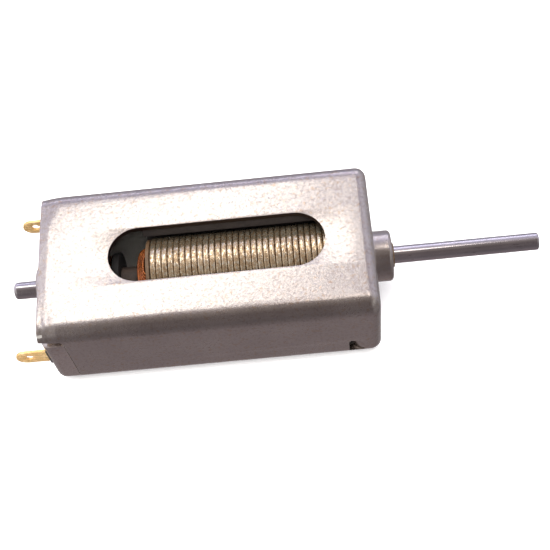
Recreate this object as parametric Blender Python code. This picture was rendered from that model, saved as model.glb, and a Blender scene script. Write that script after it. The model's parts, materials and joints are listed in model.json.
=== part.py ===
"""Small flat-can brushed DC motor: a drawn steel can with two armature windows, a steel rear cover over a moulded
brush holder, two magnets, leaf-sprung brushes, and a three-pole armature that turns in two plain bushes.

Sizes below are in millimetres, and every mesh is scaled to metres as it is made. The world frame has +X along the
shaft towards its output end, +Z up, and its origin at the middle of the motor's footprint. Each piece is modelled
about the shaft's axis, so a piece's Y and Z are distances from that axis. Places along the shaft are given as a
depth: the distance behind the can's front face, positive towards the terminals.
"""

import math

import bmesh
import bpy
from mathutils import Matrix, Vector

MM = 0.001

# Can
CAN_LENGTH = 37.5
CAN_WIDTH = 19.0
CAN_HEIGHT = 11.5
CAN_CORNER = 1.94
SHEET = 0.7
FRONT_ROUND = 1.2
FRONT_X = 11.4
BOSS_RADIUS = 2.925
BOSS_PROUD = 2.13
BOSS_ROUND = 0.45
BOSS_HOLE = 1.65
BUSH_POCKET = 2.2
WINDOW_WIDTH = 6.84
WINDOW_FRONT = 5.26
WINDOW_REAR = 29.61
SIDE_WALL_END = 34.75
LIP_CREASE = 36.5
LIP_CORNER_CREASE = 35.3
LIP_DROP = 0.2
LIP_CORNER_DROP = 0.28
LIP_EDGE_FRONT = 4.2
LIP_EDGE_REAR = 4.4
BOTTOM_TAB_HALF = 5.5
LANCE_FRONT = 2.0
LANCE_REAR = 3.7
LANCE_LOW = -4.6
LANCE_HIGH = -1.8
SCREW_OFFSET = 6.0
SCREW_RADIUS = 0.8

# Rear cover
COVER_FRONT = 34.8
COVER_REAR = 37.45
COVER_TOP = 4.85
COVER_TOP_HALF = 8.74
COVER_STEP = 3.6
COVER_SHEET = 0.5
COVER_ROUND = 1.1
REAR_BOSS_RADIUS = 2.7
REAR_BOSS_END = 38.7
SLOT_HALF_HEIGHT = 1.56

# Brush holder
HOLDER_FRONT = 33.2
HOLDER_STEP = 34.7
HOLDER_FLOOR = 35.35
HOLDER_REAR = 36.2

# Shaft and bearings
SHAFT_RADIUS = 1.0
SHAFT_FRONT = -18.87
SHAFT_REAR = 41.67
RUNNING_BORE = 1.035
FIXED_BORE = 1.03
BUSH_RADIUS = 2.15
BUSH_NOSE = 1.6
FRONT_BUSH_REAR = 1.25
REAR_BUSH_FRONT = 35.2

# Armature
ARMATURE_RADIUS = 4.6
STACK_FRONT = 4.95
LAMINATIONS = 30
LAMINATION_PITCH = 0.675
LAMINATION_THICKNESS = 0.6
STACK_REAR = STACK_FRONT + LAMINATIONS * LAMINATION_PITCH
POLES = 3
POLE_HALF_SPAN = math.radians(54)
SHOE_TIP_RADIUS = 4.0
SHOE_ROOT = 3.5
TOOTH_HALF = 1.0
HUB_RADIUS = 1.9
INSULATOR = 0.4
SPACER_RADIUS = 1.5
COIL_SECTION = ((1.06, 1.82), (1.06, 3.36), (2.9, 2.38), (2.9, 1.87), (2.4, 1.64), (1.5, 1.64))
COIL_BULGE = 0.5

# Commutator and brush gear
HUB_NECK = 1.55
HUB_BARREL = 1.9
SEGMENT_INNER = 1.94
SEGMENT_OUTER = 2.3
SEGMENT_FRONT = 29.9
SEGMENT_REAR = 33.4
RISER_RADIUS = 3.0
RISER_THICKNESS = 0.35
BRUSH_FRONT = 30.95
BRUSH_REAR = 32.9
BRUSH_INNER = 2.33
BRUSH_OUTER = 4.0
BRUSH_HALF = 0.9
ARM_SHEET = 0.2
ARM_HALF = 1.1
TERMINAL_Y = 8.6
TERMINAL_SHEET = 0.35
TERMINAL_HALF = 1.2
TERMINAL_FRONT = 34.95
TERMINAL_TIP = 41.15
TERMINAL_HOLE = 39.6

# Magnets and their spring
MAGNET_FRONT = 3.8
MAGNET_REAR = 26.0
MAGNET_BORE = 4.95
MAGNET_GAP_HALF = 3.45
MAGNET_HALF_WIDTH = 8.72
MAGNET_HALF_HEIGHT = 4.95
SPRING_RADIUS = 0.25
SPRING_REACH = 3.12
SPRING_LEVEL = -4.62
SPRING_FRONT = 1.6
SPRING_REAR = 20.0

GAP = 0.05
TURNED_STEPS = 32
SMOOTH_ANGLE = math.radians(35)
SIDES = (("left", -1), ("right", 1))


def along(depth):
    """World X of a depth behind the can's front face."""
    return FRONT_X - depth


def metal(name, colour, roughness, metallic=1.0):
    """A Principled material."""
    material = bpy.data.materials.new(name)
    material.use_nodes = True
    shader = material.node_tree.nodes["Principled BSDF"]
    shader.inputs["Base Color"].default_value = (*colour, 1.0)
    shader.inputs["Roughness"].default_value = roughness
    shader.inputs["Metallic"].default_value = metallic
    return material


def axis_empty(name):
    """An empty on the shaft's axis, half the can's height above the ground."""
    empty = bpy.data.objects.new(name, None)
    empty.location = (0, 0, CAN_HEIGHT / 2 * MM)
    bpy.context.scene.collection.objects.link(empty)
    return empty


def finish(name, bm, material, parent):
    """Turns a bmesh in millimetres into an object in metres, its faces facing out."""
    bm.normal_update()
    bmesh.ops.recalc_face_normals(bm, faces=bm.faces)
    bmesh.ops.transform(bm, matrix=Matrix.Scale(MM, 4), verts=bm.verts)
    mesh = bpy.data.meshes.new(name)
    bm.to_mesh(mesh)
    bm.free()
    mesh.shade_smooth()
    mesh.set_sharp_from_angle(angle=SMOOTH_ANGLE)
    if material:
        mesh.materials.append(material)
    piece = bpy.data.objects.new(name, mesh)
    piece.parent = parent
    bpy.context.scene.collection.objects.link(piece)
    return piece


def cut(piece, cutter_bm, name, operation="DIFFERENCE"):
    """Adds an exact Boolean to a piece, with a hidden cutter."""
    cutter = finish(name, cutter_bm, None, piece.parent)
    cutter.hide_render = True
    cutter.display_type = "WIRE"
    modifier = piece.modifiers.new(name, "BOOLEAN")
    modifier.operation = operation
    modifier.solver = "EXACT"
    modifier.object = cutter


def loft(rings, round_trip):
    """A bmesh skinned over rings of equally many points: a closed loop of rings, or an open run with two caps."""
    bm = bmesh.new()
    made = [[bm.verts.new(point) for point in ring] for ring in rings]
    pairs = list(zip(made, made[1:]))
    if round_trip:
        pairs.append((made[-1], made[0]))
    for here, there in pairs:
        for i in range(len(here)):
            j = (i + 1) % len(here)
            bm.faces.new((here[i], here[j], there[j], there[i]))
    if not round_trip:
        bm.faces.new(made[0])
        bm.faces.new(made[-1])
    return bm


def turned(profile, steps=TURNED_STEPS, start=0.0, sweep=math.tau):
    """A closed profile of (depth, radius) points turned about the shaft's axis, right round or through a sweep."""
    whole = math.isclose(sweep, math.tau)
    rings = []
    for k in range(steps if whole else steps + 1):
        angle = start + sweep * k / steps
        rings.append([(along(d), r * math.cos(angle), r * math.sin(angle)) for d, r in profile])
    return loft(rings, whole)


def tube(front, rear, outer, inner=FIXED_BORE, chamfer=0.0):
    """A turned ring between two depths, with its outer edges chamfered."""
    profile = [(front, inner), (front, outer - chamfer)]
    if chamfer:
        profile.append((front + chamfer, outer))
        profile.append((rear - chamfer, outer))
    profile.append((rear, outer - chamfer))
    profile.append((rear, inner))
    return turned(profile)


def prism(outline, front, rear, hole=None):
    """An outline of (y, z) points, with a hole if one is given, extruded between two depths."""
    bm = bmesh.new()
    edges = []
    for loop in [outline] if hole is None else [outline, hole]:
        verts = [bm.verts.new((along(front), y, z)) for y, z in loop]
        edges += [bm.edges.new((verts[i], verts[(i + 1) % len(verts)])) for i in range(len(verts))]
    bmesh.ops.triangle_fill(bm, use_beauty=True, use_dissolve=False, edges=edges)
    grown = bmesh.ops.extrude_face_region(bm, geom=list(bm.faces))
    moved = [item for item in grown["geom"] if isinstance(item, bmesh.types.BMVert)]
    bmesh.ops.translate(bm, vec=(front - rear, 0, 0), verts=moved)
    return bm


def plate(outline, low, high, axis, hole=None):
    """An outline of (depth, other) points extruded along Y or Z between low and high."""
    bm = prism(outline, 0, 1, hole)
    for vert in bm.verts:
        depth, other = vert.co.y, vert.co.z
        level = low if vert.co.x > along(0.5) else high
        vert.co = (along(depth), level, other) if axis == "Y" else (along(depth), other, level)
    return bm


def box(depths, ys, zs):
    """A box between pairs of depths, Y and Z."""
    outline = [(ys[0], zs[0]), (ys[1], zs[0]), (ys[1], zs[1]), (ys[0], zs[1])]
    return prism(outline, *depths)


def arc(radius, start, end, steps, centre=(0.0, 0.0)):
    """Points along an arc, both ends included."""
    angles = [start + (end - start) * k / steps for k in range(steps + 1)]
    return [(centre[0] + radius * math.cos(a), centre[1] + radius * math.sin(a)) for a in angles]


def circle(radius, steps, centre=(0.0, 0.0)):
    """Points round a full circle."""
    return arc(radius, 0, math.tau, steps, centre)[:-1]


def on_side(low, high, sign):
    """A pair of distances to the left or right of the axis, low before high."""
    return (low, high) if sign > 0 else (-high, -low)


def both_halves(right):
    """A closed outline from its right half, given from the bottom up."""
    return right + [(-y, z) for y, z in reversed(right)]


def rounded_outline(half_width, half_height, corner, arc_steps=5):
    """A rounded rectangle with extra points along each flat, anticlockwise from the middle of its bottom."""
    y, z = half_width - corner, half_height - corner
    flat = [(y * k / 3, -half_height) for k in (0.5, 1.5, 2.4)]
    right = flat + arc(corner, -math.pi / 2, 0, arc_steps, (y, -z))
    right += [(half_width, -z * 0.4), (half_width, z * 0.4)]
    right += arc(corner, 0, math.pi / 2, arc_steps, (y, z))
    right += [(flat_y, half_height) for flat_y, _ in reversed(flat)]
    return both_halves(right)


def even_ring(depth, radius, count):
    """A circle of points in step with an outline that starts at the middle of its bottom."""
    angles = [math.tau * (i + 0.5) / count - math.pi / 2 for i in range(count)]
    return [(along(depth), radius * math.cos(a), radius * math.sin(a)) for a in angles]


def boss_rings(base, end, radius, rounding, sheet, wall_face, count):
    """A drawn boss from a wall's outer face: up its side, over its end, and back down the bush's pocket."""
    outward = math.copysign(1.0, end - base)
    rings = [even_ring(base, radius, count)]
    for k in range(4):
        angle = math.pi / 2 * k / 3
        level = end - outward * rounding * (1 - math.sin(angle))
        rings.append(even_ring(level, radius - rounding * (1 - math.cos(angle)), count))
    for level, width in ((end, BOSS_HOLE), (end - outward * sheet, BOSS_HOLE)):
        rings.append(even_ring(level, width, count))
    for level in (end - outward * sheet, wall_face):
        rings.append(even_ring(level, BUSH_POCKET, count))
    return rings


def lip_ring(outline, pressed):
    """The outline at the can's mouth, or at the crease before it. The top is pressed down behind the crease."""
    ring = []
    for y, z in outline:
        corner = min(1.0, max(0.0, (abs(y) - 5.0) / 2.5))
        if pressed:
            sink = LIP_DROP + (LIP_CORNER_DROP - LIP_DROP) * corner
            lowered = z - sink if z > LIP_EDGE_FRONT - 0.5 else z
            ring.append((along(CAN_LENGTH), y, lowered))
        else:
            ring.append((along(LIP_CREASE + (LIP_CORNER_CREASE - LIP_CREASE) * corner), y, z))
    return ring


def can_rings():
    """Rings of the can's skin: the outside from its mouth to its boss, then the inside back to its mouth."""
    half_width, half_height = CAN_WIDTH / 2, CAN_HEIGHT / 2
    outside = rounded_outline(half_width, half_height, CAN_CORNER)
    inside = rounded_outline(half_width - SHEET, half_height - SHEET, CAN_CORNER - SHEET)
    rings = [lip_ring(outside, True), lip_ring(outside, False)]
    for k in range(5):
        angle = math.pi / 2 * k / 4
        inset = FRONT_ROUND * (1 - math.cos(angle))
        outline = rounded_outline(half_width - inset, half_height - inset, CAN_CORNER - inset)
        rings.append([(along(FRONT_ROUND * (1 - math.sin(angle))), y, z) for y, z in outline])
    rings += boss_rings(0.0, -BOSS_PROUD, BOSS_RADIUS, BOSS_ROUND, BOSS_PROUD - 1.5, SHEET, len(outside))
    inner_round = FRONT_ROUND - 0.4
    for k in (2, 1, 0):
        angle = math.pi / 2 * k / 2
        inset = SHEET + inner_round * (1 - math.cos(angle))
        outline = rounded_outline(half_width - inset, half_height - inset, CAN_CORNER - inset)
        rings.append([(along(SHEET + inner_round * (1 - math.sin(angle))), y, z) for y, z in outline])
    return rings + [lip_ring(inside, False), lip_ring(inside, True)]


def make_can(material, parent):
    """The drawn steel can, with its boss, windows, cut-back side walls, screw holes and lanced magnet stops."""
    can = finish("can", loft(can_rings(), True), material, parent)
    radius = WINDOW_WIDTH / 2
    stadium = arc(radius, -math.pi / 2, math.pi / 2, 12, (WINDOW_REAR - radius, 0))
    stadium += arc(radius, math.pi / 2, math.pi * 1.5, 12, (WINDOW_FRONT + radius, 0))
    cut(can, plate(stadium, -CAN_HEIGHT, CAN_HEIGHT, "Z"), "window_cutter")
    past_end = CAN_LENGTH + 1
    slope = (LIP_EDGE_REAR - LIP_EDGE_FRONT) / (CAN_LENGTH - SIDE_WALL_END)
    side = [
        (SIDE_WALL_END, -CAN_HEIGHT),
        (SIDE_WALL_END, LIP_EDGE_FRONT),
        (past_end, LIP_EDGE_FRONT + slope * (past_end - SIDE_WALL_END)),
        (past_end, -CAN_HEIGHT),
    ]
    wall = CAN_WIDTH / 2
    for hand, sign in SIDES:
        cut(can, plate(side, *on_side(BOTTOM_TAB_HALF, CAN_WIDTH, sign), "Y"), f"side_cutter_{hand}")
        slot = box((LANCE_FRONT, LANCE_REAR), on_side(wall - 1.7, CAN_WIDTH, sign), (LANCE_LOW, LANCE_HIGH))
        cut(can, slot, f"lance_cutter_{hand}")
        tongue = [
            (LANCE_FRONT - 0.15, sign * (wall - 0.15)),
            (LANCE_REAR - 0.05, sign * (wall - 1.2)),
            (LANCE_REAR - 0.05, sign * (wall - 1.65)),
            (LANCE_FRONT - 0.15, sign * (wall - 0.6)),
        ]
        stop = plate(tongue, LANCE_LOW + 0.6, LANCE_HIGH - 0.06, "Z")
        cut(can, stop, f"lance_tongue_{hand}", "UNION")
        hole = circle(SCREW_RADIUS, 16, (sign * SCREW_OFFSET, 0))
        cut(can, prism(hole, -1, SHEET + 1), f"screw_cutter_{hand}")


def cover_ring(depth, inset):
    """The cover's outline at an inset: full width below its steps, narrower above them to pass inside the can's lip."""
    bottom, side, top = CAN_HEIGHT / 2 - 0.03 - inset, CAN_WIDTH / 2 - inset, COVER_TOP - inset
    shoulder = COVER_TOP_HALF - inset
    low_corner = CAN_CORNER - inset
    high_corner = max(1.2 - inset, 0.08)
    y = side - low_corner
    right = [(y * k / 3, -bottom) for k in (0.5, 1.5, 2.4)]
    right += arc(low_corner, -math.pi / 2, 0, 4, (y, low_corner - bottom))
    right += [(side, 0), (side, COVER_STEP - inset * 0.6), (shoulder, COVER_STEP - inset * 0.6 + 0.02)]
    right += arc(high_corner, 0, math.pi / 2, 3, (shoulder - high_corner, top - high_corner))
    y = shoulder - high_corner
    right += [(y * k / 3, top) for k in (2.4, 1.5, 0.5)]
    return [(along(depth), y, z) for y, z in both_halves(right)]


def make_rear_cover(material, parent):
    """The drawn steel cover: a shallow cup with a bush boss, slots for the terminals and a notch for the can's tab."""
    rings = [cover_ring(COVER_FRONT, 0.0)]
    for k in range(5):
        angle = math.pi / 2 * k / 4
        rings.append(cover_ring(COVER_REAR - COVER_ROUND * (1 - math.sin(angle)), COVER_ROUND * (1 - math.cos(angle))))
    face = COVER_REAR - COVER_SHEET
    rings += boss_rings(COVER_REAR, REAR_BOSS_END, REAR_BOSS_RADIUS, 0.5, 0.6, face, len(rings[0]))
    inner_round = COVER_ROUND - COVER_SHEET
    for k in (3, 2, 1, 0):
        angle = math.pi / 2 * k / 3
        inset = COVER_SHEET + inner_round * (1 - math.cos(angle))
        rings.append(cover_ring(face - inner_round * (1 - math.sin(angle)), inset))
    rings.append(cover_ring(COVER_FRONT, COVER_SHEET))
    cover = finish("rear_cover", loft(rings, True), material, parent)
    tab = box((COVER_FRONT - 1, COVER_REAR + 1), (-BOTTOM_TAB_HALF - GAP, BOTTOM_TAB_HALF + GAP), (-9, -4.98))
    cut(cover, tab, "tab_notch_cutter")
    for hand, sign in SIDES:
        slot = box((35.5, COVER_REAR + 1), on_side(8.15, 8.96, sign), (-SLOT_HALF_HEIGHT, SLOT_HALF_HEIGHT))
        cut(cover, slot, f"terminal_slot_cutter_{hand}")


def make_brush_holder(material, parent):
    """The moulded holder: a hollow plug in the can's mouth, a floor in the cover, and a sleeve for each terminal."""
    half_width, half_height = CAN_WIDTH / 2 - SHEET - 0.06, CAN_HEIGHT / 2 - SHEET - 0.07
    plug = rounded_outline(half_width, half_height, 1.17, 4)
    holder = finish("brush_holder", prism(plug, HOLDER_FRONT, HOLDER_STEP), material, parent)
    body = rounded_outline(8.6, 3.0, 0.9, 4)
    cut(holder, prism(body, HOLDER_STEP - 0.2, HOLDER_REAR), "holder_body", "UNION")
    cut(holder, prism(rounded_outline(7.6, 2.55, 0.6, 4), HOLDER_FRONT - 1, HOLDER_FLOOR), "holder_cavity_cutter")
    cut(holder, prism(circle(2.3, 24), HOLDER_FLOOR - 1, HOLDER_REAR + 1), "holder_bore_cutter")
    outer = TERMINAL_Y + TERMINAL_SHEET / 2
    inner = TERMINAL_Y - TERMINAL_SHEET / 2
    height = (-TERMINAL_HALF - GAP, TERMINAL_HALF + GAP)
    for hand, sign in SIDES:
        sleeve_height = (GAP - SLOT_HALF_HEIGHT, SLOT_HALF_HEIGHT - GAP)
        sleeve = box((HOLDER_REAR - 0.1, COVER_REAR + 0.05), on_side(8.2, 8.91, sign), sleeve_height)
        cut(holder, sleeve, f"terminal_sleeve_{hand}", "UNION")
        channel = box((TERMINAL_FRONT - GAP, HOLDER_FLOOR + 0.01), on_side(7.4, outer + 0.3, sign), height)
        cut(holder, channel, f"terminal_channel_cutter_{hand}")
        slot = box((TERMINAL_FRONT, COVER_REAR + 1), on_side(inner - 0.04, outer + 0.04, sign), height)
        cut(holder, slot, f"terminal_passage_cutter_{hand}")


def make_terminal(hand, sign, material, parent):
    """A solder terminal: an upright blade with a round tip and a wire hole, and a leg along the holder's floor."""
    inner = TERMINAL_Y - TERMINAL_SHEET / 2
    tip = arc(TERMINAL_HALF, -math.pi / 2, math.pi / 2, 8, (TERMINAL_TIP - TERMINAL_HALF, 0))
    blade = [(TERMINAL_FRONT, TERMINAL_HALF), (TERMINAL_FRONT, -TERMINAL_HALF)] + tip
    hole = circle(0.5, 12, (TERMINAL_HOLE, 0))
    blade_bm = plate(blade, *on_side(inner, inner + TERMINAL_SHEET, sign), "Y", hole)
    terminal = finish(f"terminal_{hand}", blade_bm, material, parent)
    half = TERMINAL_HALF - 0.05
    leg = box((TERMINAL_FRONT + 0.01, TERMINAL_FRONT + TERMINAL_SHEET), on_side(4.2, inner + 0.1, sign), (-half, half))
    cut(terminal, leg, f"terminal_leg_{hand}", "UNION")


def make_brush_gear(hand, sign, leaf_material, carbon, parent):
    """A leaf spring fixed to the terminal's leg, and the carbon brush that it presses on the commutator."""
    near, far = BRUSH_OUTER + GAP, BRUSH_OUTER + GAP + ARM_SHEET
    foot = TERMINAL_FRONT - GAP
    leaf = [
        (BRUSH_FRONT - 0.2, sign * near),
        (foot, sign * near),
        (foot, sign * 6.5),
        (foot - ARM_SHEET, sign * 6.5),
        (foot - ARM_SHEET, sign * far),
        (BRUSH_FRONT - 0.2, sign * far),
    ]
    finish(f"brush_arm_{hand}", plate(leaf, -ARM_HALF, ARM_HALF, "Z"), leaf_material, parent)
    half = math.asin(BRUSH_HALF / BRUSH_INNER)
    face = [(sign * y, z) for y, z in arc(BRUSH_INNER, half, -half, 6)]
    block = face + [(sign * BRUSH_OUTER, -BRUSH_HALF), (sign * BRUSH_OUTER, BRUSH_HALF)]
    finish(f"brush_{hand}", prism(block, BRUSH_FRONT, BRUSH_REAR), carbon, parent)


def make_magnet(hand, sign, material, parent):
    """A ferrite block that fills the can's side, with a bore round the armature."""
    half = math.acos(MAGNET_GAP_HALF / MAGNET_BORE)
    corner = CAN_CORNER - SHEET
    y, z = MAGNET_HALF_WIDTH - corner, MAGNET_HALF_HEIGHT - corner
    points = arc(corner, -math.pi / 2, 0, 4, (y, -z)) + arc(corner, 0, math.pi / 2, 4, (y, z))
    points.append((MAGNET_GAP_HALF + 0.25, MAGNET_HALF_HEIGHT))
    points += arc(MAGNET_BORE, half, -half, 12)
    points.append((MAGNET_GAP_HALF + 0.25, -MAGNET_HALF_HEIGHT))
    outline = [(sign * y, z) for y, z in points]
    finish(f"magnet_{hand}", prism(outline, MAGNET_FRONT, MAGNET_REAR), material, parent)


def make_magnet_spring(material, parent):
    """A U of spring wire along the can's floor that pushes the two magnets apart."""
    bend = 1.0
    half = [Vector((SPRING_REAR, SPRING_REACH))]
    for k in range(7):
        angle = math.pi / 2 * k / 6
        spot = (SPRING_FRONT + bend * (1 - math.sin(angle)), SPRING_REACH - bend * (1 - math.cos(angle)))
        half.append(Vector(spot))
    path = half + [Vector((p.x, -p.y)) for p in reversed(half)]
    rings = []
    for i, point in enumerate(path):
        run = (path[min(i + 1, len(path) - 1)] - path[max(i - 1, 0)]).normalized()
        side = Vector((-run.y, run.x))
        ring = []
        for k in range(8):
            angle = math.tau * k / 8
            spot = point + side * SPRING_RADIUS * math.cos(angle)
            ring.append((along(spot.x), spot.y, SPRING_LEVEL + SPRING_RADIUS * math.sin(angle)))
        rings.append(ring)
    finish("magnet_spring", loft(rings, False), material, parent)


def make_bushes(material, parent):
    """The two plain bushes, each with a narrow nose through its boss's hole."""
    shoulder = 1.5 - GAP
    front = (
        (FRONT_BUSH_REAR, RUNNING_BORE),
        (-BOSS_PROUD - 0.25, RUNNING_BORE),
        (-BOSS_PROUD - 0.25, 1.35),
        (-BOSS_PROUD, BUSH_NOSE),
        (-shoulder, BUSH_NOSE),
        (-shoulder, BUSH_RADIUS),
        (FRONT_BUSH_REAR, BUSH_RADIUS),
    )
    finish("front_bush", turned(front), material, parent)
    shoulder = REAR_BOSS_END - 0.6 - GAP
    rear = (
        (REAR_BUSH_FRONT, RUNNING_BORE),
        (REAR_BOSS_END + 0.12, RUNNING_BORE),
        (REAR_BOSS_END + 0.12, 1.4),
        (REAR_BOSS_END - 0.05, BUSH_NOSE),
        (shoulder, BUSH_NOSE),
        (shoulder, BUSH_RADIUS),
        (REAR_BUSH_FRONT, BUSH_RADIUS),
    )
    finish("rear_bush", turned(rear), material, parent)


def make_shaft(material, parent):
    """The ground steel shaft, broken at its output end and rounded at its rear end."""
    profile = (
        (SHAFT_FRONT, SHAFT_RADIUS - 0.15),
        (SHAFT_FRONT + 0.15, SHAFT_RADIUS),
        (SHAFT_REAR - 0.35, SHAFT_RADIUS),
        (SHAFT_REAR - 0.1, SHAFT_RADIUS - 0.1),
        (SHAFT_REAR, SHAFT_RADIUS - 0.3),
    )
    rings = []
    for depth, radius in profile:
        angles = [math.tau * k / TURNED_STEPS for k in range(TURNED_STEPS)]
        rings.append([(along(depth), radius * math.cos(a), radius * math.sin(a)) for a in angles])
    finish("shaft", loft(rings, False), material, parent)


def lamination_outline():
    """The three-pole plate: wide curved shoes on straight teeth round a small hub."""
    points = []
    base = math.sqrt(HUB_RADIUS**2 - TOOTH_HALF**2)
    for pole in range(POLES):
        middle = math.pi / 2 + math.tau * pole / POLES
        first, last = middle - POLE_HALF_SPAN, middle + POLE_HALF_SPAN
        up = Vector((math.cos(middle), math.sin(middle)))
        across = Vector((up.y, -up.x)) * TOOTH_HALF
        points += [tuple(up * base + across), tuple(up * SHOE_ROOT + across)]
        points.append((SHOE_TIP_RADIUS * math.cos(first), SHOE_TIP_RADIUS * math.sin(first)))
        points += arc(ARMATURE_RADIUS, first, last, 6)
        points.append((SHOE_TIP_RADIUS * math.cos(last), SHOE_TIP_RADIUS * math.sin(last)))
        points += [tuple(up * SHOE_ROOT - across), tuple(up * base - across)]
        valley = middle + math.pi / POLES
        points.append((HUB_RADIUS * math.cos(valley), HUB_RADIUS * math.sin(valley)))
    return points


def make_stack(steel, insulation, parent):
    """The laminations one by one, with an insulating plate at each end."""
    outline = lamination_outline()
    bore = circle(FIXED_BORE, 16)
    for index in range(LAMINATIONS):
        front = STACK_FRONT + index * LAMINATION_PITCH
        bm = prism(outline, front, front + LAMINATION_THICKNESS, bore)
        finish(f"lamination_{index + 1:02d}", bm, steel, parent)
    for name, front in (("front", STACK_FRONT - GAP - INSULATOR), ("rear", STACK_REAR + GAP)):
        finish(f"insulator_{name}", prism(outline, front, front + INSULATOR, bore), insulation, parent)


def make_winding(pole, material, parent):
    """A winding as one closed loop round its tooth, through two slots and over both ends of the stack."""
    clear = 2 * GAP + INSULATOR
    steps = 6
    rings = []
    for end, sign in ((STACK_REAR + clear, 1), (STACK_FRONT - clear, -1)):
        for k in range(steps + 1):
            angle = math.pi * k / steps
            ring = []
            for out, up in COIL_SECTION:
                depth = end + sign * COIL_BULGE * out * math.sin(angle)
                ring.append((along(depth), sign * out * math.cos(angle), up))
            rings.append(ring)
    bm = loft(rings, True)
    bmesh.ops.rotate(bm, matrix=Matrix.Rotation(math.tau * pole / POLES, 3, "X"), verts=bm.verts)
    finish(f"winding_{pole + 1}", bm, material, parent)


def make_commutator(moulding, copper, fibre, ceramic, parent):
    """The moulded hub, three copper segments with risers, the retaining ring and the ring varistor."""
    front = STACK_REAR + 2 * GAP + INSULATOR
    rear = SEGMENT_REAR + 0.3
    step = SEGMENT_FRONT - GAP
    hub = (
        (front, FIXED_BORE),
        (front, HUB_NECK),
        (step, HUB_NECK),
        (step, HUB_BARREL),
        (rear, HUB_BARREL),
        (rear, FIXED_BORE),
    )
    finish("commutator_hub", turned(hub), moulding, parent)
    riser = SEGMENT_FRONT + RISER_THICKNESS
    section = (
        (SEGMENT_FRONT, SEGMENT_INNER),
        (SEGMENT_FRONT, RISER_RADIUS),
        (riser, RISER_RADIUS),
        (riser, SEGMENT_OUTER),
        (SEGMENT_REAR, SEGMENT_OUTER),
        (SEGMENT_REAR, SEGMENT_INNER),
    )
    sweep = math.radians(113)
    for index in range(POLES):
        start = math.radians(30) + math.tau * index / POLES - sweep / 2
        finish(f"commutator_segment_{index + 1}", turned(section, 10, start, sweep), copper, parent)
    ring = tube(riser + 0.1, riser + 0.6, 2.8, SEGMENT_OUTER + 0.04, 0.08)
    finish("commutator_ring", ring, fibre, parent)
    finish("varistor", tube(28.9, 29.7, 3.3, HUB_NECK + 0.07, 0.1), ceramic, parent)


def build():
    """Makes every piece of the motor."""
    for old in list(bpy.data.objects):
        bpy.data.objects.remove(old)
    stator = axis_empty("stator")
    rotor = axis_empty("rotor")

    steel = metal("plated_steel", (0.62, 0.6, 0.58), 0.38)
    nylon = metal("black_nylon", (0.05, 0.05, 0.055), 0.5, 0.0)
    bronze = metal("sintered_bronze", (0.42, 0.28, 0.14), 0.5)
    brass = metal("brass", (0.8, 0.58, 0.22), 0.3)
    leaf = metal("spring_bronze", (0.72, 0.45, 0.22), 0.35)
    carbon = metal("carbon", (0.03, 0.03, 0.03), 0.6, 0.0)
    ferrite = metal("ferrite", (0.05, 0.05, 0.055), 0.6, 0.0)
    wire = metal("spring_wire", (0.4, 0.4, 0.42), 0.35)
    ground = metal("ground_steel", (0.5, 0.5, 0.53), 0.22)
    stack_steel = metal("lamination_steel", (0.45, 0.36, 0.24), 0.4)
    insulation = metal("insulation", (0.35, 0.2, 0.08), 0.6, 0.0)
    enamel = metal("enamelled_copper", (0.6, 0.2, 0.05), 0.3)
    moulding = metal("commutator_moulding", (0.12, 0.05, 0.03), 0.5, 0.0)
    copper = metal("copper", (0.75, 0.38, 0.2), 0.3)
    washer = metal("washer_nylon", (0.7, 0.68, 0.6), 0.5, 0.0)
    ceramic = metal("varistor_ceramic", (0.08, 0.08, 0.09), 0.6, 0.0)

    make_can(steel, stator)
    make_rear_cover(steel, stator)
    make_brush_holder(nylon, stator)
    make_bushes(bronze, stator)
    for hand, sign in SIDES:
        make_terminal(hand, sign, brass, stator)
        make_brush_gear(hand, sign, leaf, carbon, stator)
        make_magnet(hand, sign, ferrite, stator)
    make_magnet_spring(wire, stator)

    make_shaft(ground, rotor)
    make_stack(stack_steel, insulation, rotor)
    for pole in range(POLES):
        make_winding(pole, enamel, rotor)
    make_commutator(moulding, copper, insulation, ceramic, rotor)
    spacer_rear = STACK_FRONT - 2 * GAP - INSULATOR
    finish("front_spacer", tube(FRONT_BUSH_REAR + 0.45, spacer_rear, SPACER_RADIUS), washer, rotor)
    finish("thrust_washer", tube(FRONT_BUSH_REAR + 0.05, FRONT_BUSH_REAR + 0.4, 1.9), washer, rotor)
    finish("rear_collar", tube(SEGMENT_REAR + 0.35, REAR_BUSH_FRONT - 0.1, 1.7, FIXED_BORE, 0.1), washer, rotor)


build()
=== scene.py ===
"""Looks for the small flat-can DC motor: finer meshes, node finishes, a studio floor, light and a camera.

Meshes are made in millimetres about the shaft's axis and scaled to metres as they are finished. A depth is
the distance behind the can's front face, positive towards the terminals.
"""

import json
import math
import random

import bmesh
import bpy
from mathutils import Matrix, Vector, noise

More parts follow.
